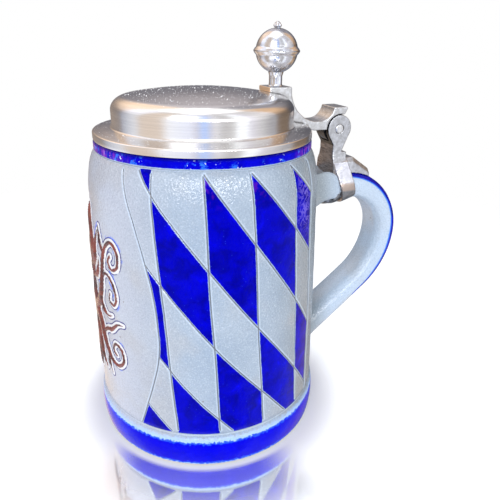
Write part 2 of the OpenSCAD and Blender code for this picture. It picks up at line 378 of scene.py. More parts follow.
def filling(lines, pitch=2.3):
    """A loose triangular grid over the rest of the wall."""
    u, z = np.meshgrid(np.arange(0, TAU * UNROLL_R, pitch), np.arange(WALL_LOW_Z, NECK_Z, pitch * 0.87))
    u = u + pitch / 2 * (np.arange(len(u)) % 2)[:, None]
    p = np.stack([u.ravel(), z.ravel()], -1)
    distance = np.min([polyline_distance(p, line) for line in lines], axis=0)
    return p[(distance > LINE_ROWS[-1] + 0.6) & (scroll_distance(p) > SCROLL_REACH + 0.4)]


def wall_relief(points, line_distance, scroll):
    """How far each wall point stands out from the plain surface."""
    groove = -0.34 * bump(line_distance, 0, 0.24) + 0.07 * bump(line_distance, 0.7, 0.3)
    body = 1.25 * smooth(-scroll, -0.25, 1.5) + 0.18 * bump(scroll, 0.45, 0.3)
    outline = -0.22 * bump(scroll, 1.05, 0.25)
    u = points[:, 0] / UNROLL_R
    z = points[:, 1]
    rings = 0.05 * np.sin(z / 1.9 + 1.5 * np.sin(u))
    thrown = rings + 0.10 * np.sin(3 * u + z / 17) + 0.06 * np.sin(7 * u - z / 11)
    ends = smooth(z, WALL_LOW_Z + 0.2, WALL_LOW_Z + 1.2) * (1 - smooth(z, NECK_Z - 1.2, NECK_Z - 0.2))
    seam = smooth(np.minimum(u, TAU - u), 0, 0.1)
    return (groove + body + outline + thrown * seam) * ends


def line_distances(flat, lines):
    """Distance from the nearest line. The upright beside the handle was cut wider, so it counts as nearer."""
    distances = np.array([polyline_distance(flat, line) for line in lines])
    for row, line in zip(distances, lines):
        from_handle = min(line[:, 0].min(), TAU * UNROLL_R - line[:, 0].max())
        if from_handle < 44 and np.ptp(line[:, 0]) < 4:
            row *= 0.5
    return distances.min(axis=0)


def wall_paint(flat, lines):
    """Paint of unrolled wall points: signed distance into the cobalt, and distances to line and ornament."""
    distance = line_distances(flat, lines)
    angle = np.degrees(flat[:, 0] / UNROLL_R)
    angle = np.where(angle > 180, angle - 360, angle)
    sign = np.where(is_cobalt(angle, flat[:, 1]), 1, -1)
    return {"cobalt": sign * distance, "line": distance, "scroll": scroll_distance(flat)}


def wall_mesh():
    """The carved wall between foot groove and neck groove: points, faces and paint attributes."""
    lines = pattern_lines()
    points, edges = wall_points(lines)
    flat, _, faces = delaunay_2d_cdt([Vector(p) for p in points], edges, [], 0, 1e-4, False)[:3]
    flat = np.array([tuple(v) for v in flat])
    paint = wall_paint(flat, lines)
    radius = wall_radius(flat[:, 1]) + wall_relief(flat, paint["line"], paint["scroll"])
    turn = flat[:, 0] / UNROLL_R
    verts = np.stack([radius * np.cos(turn), radius * np.sin(turn), flat[:, 1]], -1)
    return verts, [tuple(f) for f in faces], paint


def foot_radius(z):
    u = 2 * (z - FOOT_EDGE) / (FOOT_TOP - FOOT_EDGE) - 1
    return FOOT_R - 0.7 * u * u


def foot_profile():
    """From the middle of the base out and up to the wall, with turning marks under the base."""
    base = [(AXIS_R, 0.0), (6, 0.0)]
    for r in np.arange(8, 48, 2.0):
        base += [(r, 0.0), (r + 0.5, 0.14), (r + 1.0, 0.0)]
    corner = arc((FOOT_R - 0.7 - FOOT_EDGE, FOOT_EDGE), (FOOT_EDGE, FOOT_EDGE), -90, -15, 7)
    band = [(foot_radius(z), z) for z in np.linspace(FOOT_EDGE + 0.3, FOOT_TOP - 0.5, 12)]
    top = arc((foot_radius(FOOT_TOP) - 0.5, FOOT_TOP - 0.45), (0.5, 0.5), 0, 75, 4)
    groove = arc((GROOVE_R + 0.42, GROOVE_Z), (0.42, 0.5), 240, 120, 5)
    return base + corner + band + top + groove + [(WALL_LOW_R, WALL_LOW_Z)]


def rim_profile():
    """From the wall over the lip and down the cavity to the middle of the floor."""
    neck_r = float(wall_radius(NECK_Z))
    groove = [(neck_r - 0.3, NECK_Z + 0.12), (neck_r - 0.55, NECK_Z + 0.35), (neck_r - 0.45, NECK_Z + 0.6)]
    band = [(RIM_R - 0.06, RIM_Z), (RIM_R + 0.02, RIM_Z + 0.4), (RIM_R, RIM_Z + 1.2)]
    lip = arc((RIM_R - 1.2, MUG_H - 1.2), (1.2, 1.2), 0, 90, 7)
    lip += arc((MOUTH_R + 1.8, MUG_H - 1.8), (1.8, 1.8), 90, 180, 8)
    inside_r = [(MOUTH_R, 124.5), (MOUTH_R, 122.6), (38.9, 118.5), (39.7, 114), (40.6, 108.7), (41.4, 104)]
    down = [(41.4 + 2.5 * (104 - z) / 88, z) for z in np.linspace(96, 20, 12)]
    floor = arc((35.9, FLOOR_T + 8), (8, 8), 0, -90, 9) + [(r, FLOOR_T) for r in (28, 18, 8, AXIS_R)]
    return [(neck_r, NECK_Z)] + groove + band + lip + inside_r + down + floor


def ring_attributes(profile):
    """Paint of the turned parts: cobalt on the foot band and on the rim band."""
    r = np.repeat([p[0] for p in profile], SEGMENTS)
    z = np.repeat([p[1] for p in profile], SEGMENTS)
    foot = np.minimum(13.1 - z, z - 0.9)
    rim = np.where(r > 40.5, z - (RIM_Z - 0.35), -FAR)
    cobalt = np.where(z < 20, np.where(r > 47, foot, -FAR), rim)
    foot_groove, neck_groove = np.hypot(r - GROOVE_R, z - GROOVE_Z), np.hypot(
        r - RIM_R + 0.5, z - NECK_Z - 0.4
    )
    line = np.clip(1.5 * np.minimum(foot_groove, neck_groove), 0, FAR)
    on_wall = (np.abs(z - WALL_LOW_Z) < 0.01) | (np.abs(z - NECK_Z) < 0.01)
    turn = np.tile(np.arange(SEGMENTS) * TAU / SEGMENTS, len(profile))
    edge = wall_paint(np.stack([turn * UNROLL_R, z], -1)[on_wall], pattern_lines())
    cobalt[on_wall] = edge["cobalt"]
    return {"cobalt": np.clip(cobalt, -FAR, FAR), "line": line, "scroll": np.full(len(r), FAR)}


def join_parts(parts):
    """Puts several (verts, faces, attributes) together."""
    verts, faces, attributes = [], [], {}
    for v, f, a in parts:
        start = len(verts)
        verts.extend(map(tuple, v))
        faces.extend([tuple(start + i for i in face) for face in f])
        for key in ("cobalt", "line", "scroll"):
            attributes.setdefault(key, []).extend(a[key])
    return verts, faces, attributes


# ---- Handle ----

HANDLE_HALF_T, HANDLE_HALF_W = 6.0, 9.0
ROOT_RISE, ROOT_LEN = 14, 19
BOW_C, BOW_R = np.array([68.2, 76.8]), 25.0
LOWER_R, LOWER_TURN = 34.0, 52
TAIL_LEN = 46.0
HANDLE_COLUMNS = 64
FILLET_STEPS = (-1.0, 0.0, 0.015, 0.06, 0.13, 0.23, 0.36, 0.52, 0.72, 1.0)


def handle_line(s):
    """Centre line in X and Z, and its outward normal's angle, at a distance from the root's buried end."""
    bow_len, lower_len = math.radians(90 + ROOT_RISE) * BOW_R, math.radians(LOWER_TURN) * LOWER_R
    s = np.asarray(s, float)
    along = np.clip(s - ROOT_LEN, 0, bow_len) / BOW_R
    lower = np.clip(s - ROOT_LEN - bow_len, 0, lower_len) / LOWER_R
    angle = math.radians(90 + ROOT_RISE) - along - lower
    on_lower = s > ROOT_LEN + bow_len
    radius = np.where(on_lower, LOWER_R, BOW_R)
    cx = np.where(on_lower, BOW_C[0] + BOW_R - LOWER_R, BOW_C[0])
    ahead = np.minimum(s - ROOT_LEN, 0) + np.maximum(s - ROOT_LEN - bow_len - lower_len, 0)
    x = cx + radius * np.cos(angle) + ahead * np.sin(angle)
    z = BOW_C[1] + radius * np.sin(angle) - ahead * np.cos(angle)
    return x, z, angle


def handle_surface(s, section):
    """Point of the handle's skin and its outward direction, before the fillets."""
    x, z, angle = handle_line(s)
    section = np.full(len(x), section)
    power = 2 / (2.5 + 1.2 * smooth(-s, -26, -10))
    c, w = np.cos(section), np.sin(section)
    swell = 1 + 0.32 * smooth(-s, -14, 0)
    wide = 1 + 0.2 * smooth(-s, -14, 0)
    z = z + (2.2 + 1.0 * max(math.cos(section[0]), 0)) * smooth(-s, -24, -8) + saddle_bed(s, section[0])
    thick = HANDLE_HALF_T * swell * np.sign(c) * np.abs(c) ** power
    y = HANDLE_HALF_W * wide * np.sign(w) * np.abs(w) ** power
    px = x + thick * np.cos(angle)
    pz = z + thick * np.sin(angle)
    out = np.stack([c * np.cos(angle), w, c * np.sin(angle)], -1)
    return np.stack([px, y, pz], -1), out


def saddle_bed(s, section):
    """The clay thumbed up at both sides of the handle's top, where the clamp's block sits."""
    return 3.2 * bump(s, 13, 7.5) * bump(abs((section + math.pi) % TAU - math.pi), math.radians(48), 0.45)


def clearance(p):
    return np.hypot(p[..., 0], p[..., 1]) - wall_radius(p[..., 2])


def fillet_size(section, at_tail):
    """(height, length) of the fillet: long under the tail, short elsewhere."""
    back = np.cos(section)
    if at_tail:
        return 4.0 + 3.0 * max(back, 0), 4.0 + 1.0 * max(back, 0)
    return 3.5 + 2.0 * back, 3.5 + 2.0 * back


def rail(section, total):
    """Points of one lengthwise line of the handle, from wall to wall, with the fillets at both ends."""
    fine = np.linspace(0, total, 1400)
    skin, _ = handle_surface(fine, section)
    gap = clearance(skin)
    middle = len(fine) // 2
    rows = []
    for at_tail, part in ((False, slice(0, middle)), (True, slice(middle, None))):
        height, length = fillet_size(section, at_tail)
        g, f = gap[part], fine[part]
        g, f = (g[::-1], f[::-1]) if at_tail else (g, f)
        g = np.maximum.accumulate(g)
        wanted = np.array([step if step < 0 else step * height for step in FILLET_STEPS])
        stations = np.interp(wanted, g, f)
        rows.append((stations, wanted, height, length))
    (s0, w0, h0, l0), (s1, w1, h1, l1) = rows
    between = np.linspace(0, 1, 92)[1:-1]
    stations = np.concatenate([s0, s0[-1] + (s1[-1] - s0[-1]) * between, s1[::-1]])
    pushes = np.concatenate([fillet_push(w0, h0, l0), np.zeros(len(between)), fillet_push(w1, h1, l1)[::-1]])
    gaps = np.concatenate([w0, np.full(len(between), np.nan), w1[::-1]])
    return stations, pushes, gaps


def fillet_push(gaps, height, length):
    t = np.clip(gaps / height, 0, 1)
    return length * (1 - np.sqrt(1 - (1 - t) ** 2))


def handle_mesh():
    total = ROOT_LEN + math.radians(90 + ROOT_RISE) * BOW_R + math.radians(LOWER_TURN) * LOWER_R + TAIL_LEN
    grid, paint = [], []
    sections = np.arange(HANDLE_COLUMNS) * TAU / HANDLE_COLUMNS
    for section in sections:
        stations, pushes, gaps = rail(section, total)
        p, out = handle_surface(stations, section)
        p = p + out * finger_marks(stations, section)[:, None]
        p = apply_fillet(p, out, pushes, gaps)
        grid.append(p)
        paint.append(stripe_paint(stations, section))
    grid = np.array(grid).transpose(1, 0, 2)
    paint = np.array(paint).T
    rows, columns = grid.shape[:2]
    faces = []
    for i in range(0, (rows - 1) * columns, columns):
        for j in range(columns):
            k = (j + 1) % columns
            faces.append((i + j, i + k, i + columns + k, i + columns + j))
    faces += [tuple(range(columns)), tuple((rows - 1) * columns + j for j in range(columns))]
    far = np.full(rows * columns, FAR)
    return grid.reshape(-1, 3), faces, {"cobalt": paint.ravel(), "line": far, "scroll": far}


def finger_marks(s, section):
    """Shallow marks drawn along the clay when the handle was pulled."""
    marks = 0.09 * np.sin(5 * section + 0.03 * s) + 0.06 * np.sin(11 * section - 0.02 * s + 1)
    slow = 0.12 * np.sin(s / 9.0 + math.cos(section))
    return (marks + slow) * smooth(s, 4, 24) * (1 - smooth(s, 100, 120))


def apply_fillet(p, out, pushes, gaps):
    """Moves points sideways along the wall, and keeps each at its height above the wall."""
    radial = p[:, :2] / np.hypot(p[:, 0], p[:, 1])[:, None]
    normal = np.concatenate([radial, np.zeros((len(p), 1))], axis=1)
    side = out - (out * normal).sum(1)[:, None] * normal
    side /= np.maximum(np.linalg.norm(side, axis=1), 1e-6)[:, None]
    moved = p + side * pushes[:, None]
    near = ~np.isnan(gaps)
    reach = wall_radius(moved[:, 2]) + np.where(near, gaps, 0)
    scale = np.where(near, reach / np.hypot(moved[:, 0], moved[:, 1]), 1)
    moved[:, :2] *= scale[:, None]
    return moved


def stripe_paint(s, section):
    """Signed distance from the edge of the cobalt stripe along the handle's back."""
    turn = abs((section + math.pi) % TAU - math.pi)
    across = 12.2 * turn / (math.pi / 2)
    half = np.interp(s, (20, 26, 44, 66, 88, 102, 114), (-6, 7.4, 10.0, 12.0, 11.8, 10.2, -3.0))
    return np.clip(half - across, -FAR, FAR)


def make_mug():
    parts = [wall_mesh()]
    for profile in (foot_profile(), rim_profile()):
        verts, faces = revolve(profile)
        parts.append((verts, faces, ring_attributes(profile)))
    parts.append(handle_mesh())
    verts, faces, attributes = join_parts(parts)
    mug = new_object("stoneware_mug", verts, faces, attributes)
    dress(mug, stoneware_material(), "stein", "mug")


# ---- Lid and thumblift, turned parts ----

BRIM_Z, BRIM_R, BRIM_T = 128.65, 43.8, 3.0
DOME_R, DOME_CORNER, CROWN_Z, LID_WALL = 36.3, (7.0, 5.4), 146.95, 1.8
CORNER_Z = CROWN_Z - 8.1
LIFT_X, BALL_Z, BALL_R, BEAD_R, BEAD_H = 31.6, 160.4, 8.6, 9.5, 1.2


def crown(drop, steps=24):
    corner_r = DOME_R - DOME_CORNER[0] + DOME_CORNER[0] * math.cos(math.radians(83))
    corner_z = CORNER_Z + DOME_CORNER[1] * math.sin(math.radians(83))
    return [
        (max(corner_r * u, AXIS_R), CROWN_Z - drop - (CROWN_Z - corner_z) * u * u)
        for u in 1 - np.arange(1, steps + 1) / steps
    ]


def lid_profile():
    inside = [(DOME_R - LID_WALL, BRIM_Z + 0.4), (DOME_R - LID_WALL + 0.4, BRIM_Z)]
    under = [(38, BRIM_Z), (40.6, BRIM_Z), (BRIM_R - 0.4, BRIM_Z), (BRIM_R - 0.1, BRIM_Z + 0.15)]
    edge = [(BRIM_R, BRIM_Z + 0.5), (BRIM_R, BRIM_Z + 1.5)] + arc(
        (BRIM_R - 0.6, BRIM_Z + BRIM_T - 0.6), (0.6, 0.6), 0, 80, 6
    )
    slope = [(r, BRIM_Z + BRIM_T + 1.1 * (BRIM_R - 0.5 - r) / 6.0) for r in (42.8, 41.8, 40.8, 39.8, 38.6)]
    foot = arc((DOME_R + 1, BRIM_Z + BRIM_T + 2.1), (1, 1), 270, 180, 7)
    drum = [(DOME_R, z) for z in (134.6, 136, 137.6)]
    corner_c = (DOME_R - DOME_CORNER[0], CORNER_Z)
    outer = arc(corner_c, DOME_CORNER, 0, 83, 16) + crown(0)
    inner_corner = (DOME_CORNER[0] - LID_WALL, DOME_CORNER[1] - LID_WALL)
    inner = arc(corner_c, inner_corner, 0, 83, 8) + crown(LID_WALL, 10)
    return inner[::-1] + [(DOME_R - LID_WALL, 136)] + inside + under + edge + slope + foot + drum + outer


def half_ball_profile():
    """Upper half of the ball, from the pole outside down to the bead and back inside."""
    outside = arc((0, 0), (BALL_R, BALL_R), 88.5, 10.5, 26)
    bead = [
        (BALL_R + 0.22, BEAD_H), (BALL_R + 0.5, BEAD_H * 0.72), (BEAD_R - 0.16, 0.42), (BEAD_R, 0.2),
        (BEAD_R - 0.02, 0.02)
    ]
    inside = [(BALL_R - 1.2, 0.0)] + arc((0, 0), (BALL_R - 1.2, BALL_R - 1.2), 4, 88, 12)
    return outside + bead + inside


def turned(name, profile, body, node, material, offset=(0, 0), segments=160, flip=False, shape=None):
    verts, faces = revolve(profile, segments, shape)
    verts = np.array(verts)
    if flip:
        verts[:, 2] *= -1
    verts += np.array([offset[0], 0, offset[1]])
    obj = new_object(name, verts, faces)
    obj.data.set_sharp_from_angle(angle=math.radians(38))
    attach(obj, body)
    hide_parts(node)
    obj.data.materials.append(material)
    return obj


def post_profile():
    base_z, top_z = 146.8, BALL_Z - 8.16
    foot = arc((3.3, base_z + 1.2), (0.6, 1.2), 270, 180, 8)
    collar = [
        (2.7, top_z - 1.6), (2.86, top_z - 1.1), (3.05, top_z - 0.5), (3.2, top_z + 0.1), (2.4, top_z + 0.5),
        (AXIS_R, top_z + 0.5)
    ]
    return [(AXIS_R, base_z), (3.2, base_z)] + foot + [(2.7, base_z + 2.5)] + collar


def post_facets(r, z, angles):
    """The post was filed by hand, so it isn't quite round."""
    if r < 2:
        return np.full(len(angles), r)
    return r + 0.10 * np.cos(7 * angles + z * 0.05) * (r < 2.8) + 0.04 * np.sin(3 * angles)


def make_turned_parts(spun, cast):
    turned("lid_dish", lid_profile(), "lid_assembly", "lid", spun, segments=224)
    turned(
        "lift_post", post_profile(), "lid_assembly", "thumblift_post", cast, (LIFT_X, 0), 84,
        shape=post_facets
    )
    turned("ball_top", half_ball_profile(), "lid_assembly", "ball_upper", cast, (LIFT_X, BALL_Z))
    turned(
        "ball_bottom", half_ball_profile(), "lid_assembly", "ball_lower", cast, (LIFT_X, BALL_Z), flip=True
    )


def soften(node, voxel, smooth_steps, material, grain=0.0):
    """Rounds a CAD node's edges like a casting, without touching its mesh."""
    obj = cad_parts[node]
    remesh = obj.modifiers.new("casting", "REMESH")
    remesh.mode = "VOXEL"
    remesh.voxel_size = voxel * MM
    remesh.use_smooth_shade = True
    relax = obj.modifiers.new("worn_edges", "SMOOTH")
    relax.factor = 0.5
    relax.iterations = smooth_steps
    if grain:
        texture = bpy.data.textures.new("casting_grain", "CLOUDS")
        texture.noise_scale = 2.2 * MM
        displace = obj.modifiers.new("grain", "DISPLACE")
        displace.texture = texture
        displace.texture_coords = "LOCAL"
        displace.strength = grain * MM
    obj.data.materials.clear()
    obj.data.materials.append(material)


# ---- Solder and grit ----


def solder_bead(name, centre, radii, lean, body, material):
    """Lumpy solder: a flattened ball, leaned upwards along X and curled up at its two sides."""
    phases = np.random.default_rng(7).uniform(0, TAU, (5, 3))
    work = bmesh.new()
    bmesh.ops.create_uvsphere(work, u_segments=64, v_segments=40, radius=1.0)
    lean = math.radians(lean)
    for vert in work.verts:
        x, y, z = vert.co
        waves = [math.sin(4.5 * x + a) * math.sin(5.5 * y + b) * math.sin(3.5 * z + c) for a, b, c in phases]
        swell = 1 + 0.11 * sum(waves)
        along, across, up = radii[0] * x * swell, radii[1] * y * swell, radii[2] * z * swell
        up += radii[3] * across * across
        offset = (
            along * math.cos(lean) - up * math.sin(lean), across,
            along * math.sin(lean) + up * math.cos(lean)
        )
        vert.co = [MM * (c + o) for c, o in zip(centre, offset)]
    mesh = bpy.data.meshes.new(name)
    work.to_mesh(mesh)
    work.free()
    mesh.shade_smooth()
    dress(link(name, mesh), material, body)


def grain_shape():
    """Points and faces of one small round grain of radius 1."""
    work = bmesh.new()
    bmesh.ops.create_icosphere(work, subdivisions=2, radius=1.0)
    points = np.array([vert.co for vert in work.verts])
    faces = [[vert.index for vert in face.verts] for face in work.faces]
    work.free()
    return points, faces


def lid_grit(count, material):
    """Fine grit that has settled on the lid's crown and, more sparsely, on its brim."""
    dice = np.random.default_rng(23)
    lid = bpy.data.objects["lid_dish"]
    bpy.context.view_layer.update()
    points, faces = grain_shape()
    verts, all_faces = [], []
    for index in range(count):
        on_brim = index % 5 == 0
        r = dice.uniform(
            DOME_R + 1.0, BRIM_R - 0.6
        ) if on_brim else (DOME_R - 5.5) * math.sqrt(dice.uniform())
        turn = dice.uniform(0, TAU)
        size = 0.06 + min(0.12, dice.exponential(0.035))
        above = (MM * r * math.cos(turn), MM * r * math.sin(turn), MM * 170)
        hit, spot, _, _ = lid.ray_cast(above, (0, 0, -1))
        if hit:
            start = len(verts) * len(points)
            verts.append(points * (size, size, size * 0.8) + np.array(spot) / MM + (0, 0, size * 0.3))
            all_faces += [[start + corner for corner in face] for face in faces]
    grit = new_object("lid_grit", np.concatenate(verts), all_faces)
    dress(grit, material, "lid_assembly")


def grit_material():
    """Pale dull grains, some whiter than others."""
    g = Graph("pewter_grit")
    colour = g.mix(g.step(g.noise(0.5, 2), 0.4, 0.6), (0.55, 0.56, 0.60), (0.95, 0.95, 0.97))
    return g.finish(
        Base_Color=colour, Roughness=0.5, Metallic=0.0, Normal=g.relief(g.noise(6.0, 2), 0.3, 0.05)
    )


# ---- Materials ----


class Nodes:
    """A node tree of a material or the world. Every argument may be a value or a socket."""

    def __init__(self, tree):
        self.tree = tree

    def node(self, kind, inputs=None, **settings):
        made = self.tree.nodes.new(kind)
        for key, value in settings.items():
            setattr(made, key, value)
        for key, value in (inputs or {}).items():
            self.feed(made.inputs[key], value)
        return made

    def feed(self, socket, value):
        if isinstance(value, bpy.types.NodeSocket):
            self.tree.links.new(value, socket)
        elif isinstance(value, tuple) and len(value) == 3 and socket.type == "RGBA":
            socket.default_value = (*value, 1)
        else:
            socket.default_value = value

    def vector(self, operation, a, b=(1, 1, 1), scale=1.0):
        made = self.node("ShaderNodeVectorMath", {0: a}, operation=operation)
        if operation == "SCALE":
            made.inputs["Scale"].default_value = scale
        else:
            self.feed(made.inputs[1], b)
        return made.outputs[0]

    def dot(self, a, b):
        return self.node("ShaderNodeVectorMath", {0: a, 1: b}, operation="DOT_PRODUCT").outputs["Value"]

    def math(self, operation, a, b=0.5, clamp=False):
        return self.node("ShaderNodeMath", {0: a, 1: b}, operation=operation, use_clamp=clamp).outputs[0]

    def times(self, a, b, clamp=False):
        return self.math("MULTIPLY", a, b, clamp)

    def span(self, value, lo, hi):
        """0 at lo, 1 at hi and straight between."""
        inputs = {"Value": value, "From Min": lo, "From Max": hi}
        return self.node("ShaderNodeMapRange", inputs).outputs["Result"]

    def mix(self, factor, a, b, blend="MIX"):
        made = self.node("ShaderNodeMix", data_type="RGBA", blend_type=blend)
        for index, value in ((0, factor), (6, a), (7, b)):
            self.feed(made.inputs[index], value)
        return made.outputs[2]

    def ramp(self, value, stops):
        made = self.node("ShaderNodeValToRGB", {0: value})
        elements = made.color_ramp.elements
        while len(elements) > 1:
            elements.remove(elements[-1])
        elements[0].position, elements[0].color = stops[0][0], (*stops[0][1], 1)
        for position, colour in stops[1:]:
            elements.new(position).color = (*colour, 1)
        return made.outputs[0]


class Graph(Nodes):
    """A new material, with the object's own millimetres as its place."""

    def __init__(self, name):
        self.material = bpy.data.materials.new(name)
        self.material.use_nodes = True
        super().__init__(self.material.node_tree)
        self.shader = next(n for n in self.tree.nodes if n.type == "BSDF_PRINCIPLED")
        position = self.node("ShaderNodeTexCoord").outputs["Object"]
        self.place = self.vector("SCALE", position, scale=1 / MM)

    def noise(self, scale, detail=3.0, roughness=0.5, place=None, distortion=0.0):
        inputs = {
            "Vector": place or self.place, "Scale": scale, "Detail": detail, "Roughness": roughness,
            "Distortion": distortion
        }
        return self.node("ShaderNodeTexNoise", inputs).outputs["Fac"]

    def spots(self, scale, place=None):
        return self.node(
            "ShaderNodeTexVoronoi", {"Vector": place or self.place, "Scale": scale}
        ).outputs["Distance"]

    def attribute(self, name):
        return self.node("ShaderNodeAttribute", attribute_name=name).outputs["Fac"]

    def step(self, value, lo, hi, out_lo=0.0, out_hi=1.0):
        inputs = {"Value": value, "From Min": lo, "From Max": hi, "To Min": out_lo, "To Max": out_hi}
        return self.node("ShaderNodeMapRange", inputs, interpolation_type="SMOOTHSTEP").outputs["Result"]

    def blend(self, factor, a, b):
        made = self.node("ShaderNodeMix", data_type="FLOAT")
        for index, value in ((0, factor), (2, a), (3, b)):
            self.feed(made.inputs[index], value)
        return made.outputs[0]

    def relief(self, height, strength, distance, normal=None):
        inputs = {"Height": height, "Strength": strength, "Distance": distance * MM}
        if normal is not None:
            inputs["Normal"] = normal
        return self.node("ShaderNodeBump", inputs).outputs["Normal"]

    def finish(self, **inputs):
        for key, value in inputs.items():
            self.feed(self.shader.inputs[key.replace("_", " ")], value)
        return self.material


PALE = (0.27, 0.34, 0.44)
# Painted light and shade: the next three colours are the pale glaze lit away from the handle, in shade
# towards the handle, and lit on the handle
PALE_LIT_WARM = (0.44, 0.46, 0.55)
PALE_SHADED_GREEN = (0.23, 0.27, 0.30)
PALE_HANDLE_LIT = (0.44, 0.545, 0.69)
CLAY = (0.42, 0.36, 0.29)
COBALT_DEEP, COBALT, COBALT_BRIGHT = (0.0, 0.0, 0.24), (0.0, 0.0, 0.42), (0.0, 0.0, 0.75)
AZURE = (0.05, 0.22, 0.85)
STAIN, STAIN_DARK = (0.17, 0.025, 0.018), (0.035, 0.003, 0.006)


def pale_glaze(g):
    """Grey salt glaze, cooler in front, with painted light and shade: lighter and warmer away from the
    handle, darker and greener towards it, and lighter on the handle.
    """
    place = g.node("ShaderNodeSeparateXYZ", {0: g.place})
    # Painted shade towards the handle and painted light away from it
    shade_toward_handle = g.step(place.outputs["X"], 2, 40)
    light_away_from_handle = g.step(place.outputs["X"], -20, -52)
    colour = g.mix(shade_toward_handle, PALE, PALE_SHADED_GREEN)
    colour = g.mix(light_away_from_handle, colour, PALE_LIT_WARM)
    # Painted highlight: the handle is lighter
    colour = g.mix(g.step(place.outputs["X"], 50, 66), colour, PALE_HANDLE_LIT)
    cloud = g.noise(0.06, 3)
    colour = g.mix(g.step(cloud, 0.35, 0.75, 0.0, 0.3), colour, (0.44, 0.50, 0.58))
    warmth = g.step(g.noise(0.045, 2), 0.5, 0.7, 0.0, 0.35)
    colour = g.mix(warmth, colour, (0.36, 0.35, 0.35))
    grain = g.noise(1.8, 2, 0.5)
    colour = g.mix(g.step(grain, 0.50, 0.34, 0.0, 0.26), colour, (0.19, 0.24, 0.30))
    colour = g.mix(g.step(grain, 0.54, 0.70, 0.0, 0.24), colour, (0.62, 0.70, 0.78))
    rare = g.step(g.spots(0.09), 0.035, 0.05, 0.6, 0.0)
    return g.mix(rare, colour, (0.16, 0.13, 0.11))


def cobalt_glaze(g):
    """Deep blue with clouds and small light flecks."""
    cloud = g.noise(0.16, 4, 0.55, distortion=0.6)
    colour = g.mix(g.step(cloud, 0.30, 0.58), COBALT_DEEP, COBALT)
    colour = g.mix(g.step(cloud, 0.56, 0.80, 0.0, 0.8), colour, COBALT_BRIGHT)
    fleck = g.step(g.spots(0.55), 0.10, 0.02, 0.0, 0.35)
    return g.mix(fleck, colour, (0.06, 0.16, 0.9))


def rim_flecks_and_painted_light(g, colour, on_rim):
    """Crystals in the rim's thick glaze as light blue smudges; painted glints, painted purplish reflections
    and streaks towards the sides, and a painted shadow along the top under the lid's brim.
    """
    place = g.node("ShaderNodeSeparateXYZ", {0: g.place})
    patchy = g.step(g.noise(0.10, 3), 0.40, 0.54)
    # Painted reflections towards the sides: purplish patches and streaks, and paler streaks
    reflecting_sides = g.math("ADD", g.step(place.outputs["X"], -34, -43), g.step(place.outputs["X"], 21, 30))
    reflecting_sides = g.times(on_rim, reflecting_sides)
    purple_reflection = g.times(reflecting_sides, g.step(g.noise(0.22, 3), 0.46, 0.60))
    colour = g.mix(g.times(purple_reflection, 0.8), colour, (0.20, 0.03, 0.34))
    upright = g.vector("MULTIPLY", g.place, (1, 1, 0.12))
    streak = g.times(reflecting_sides, g.step(g.noise(0.75, 3, 0.6, upright), 0.50, 0.60))
    colour = g.mix(g.times(streak, 0.75), colour, (0.34, 0.02, 0.36))
    pale_reflection_streak = g.times(reflecting_sides, g.step(g.noise(1.1, 2, 0.6, upright), 0.60, 0.68))
    colour = g.mix(g.times(pale_reflection_streak, 0.7), colour, (0.42, 0.44, 0.95))
    smudge = g.times(g.step(g.noise(0.42, 3, 0.6), 0.54, 0.66), g.times(on_rim, patchy))
    colour = g.mix(g.times(smudge, 0.8), colour, (0.04, 0.24, 0.95))
    # Painted glints: small pale spots
    white_glint = g.times(g.step(g.noise(0.62, 3, 0.6), 0.635, 0.665), g.times(on_rim, patchy))
    colour = g.mix(white_glint, colour, (0.80, 0.90, 1.0))
    # Painted shadow: the top of the rim band darkens under the lid's brim
    return g.mix(
        g.times(on_rim, g.step(place.outputs["Z"], 127.2, 128.3, 0.0, 0.85)), colour, (0.0, 0.0, 0.03)
    )


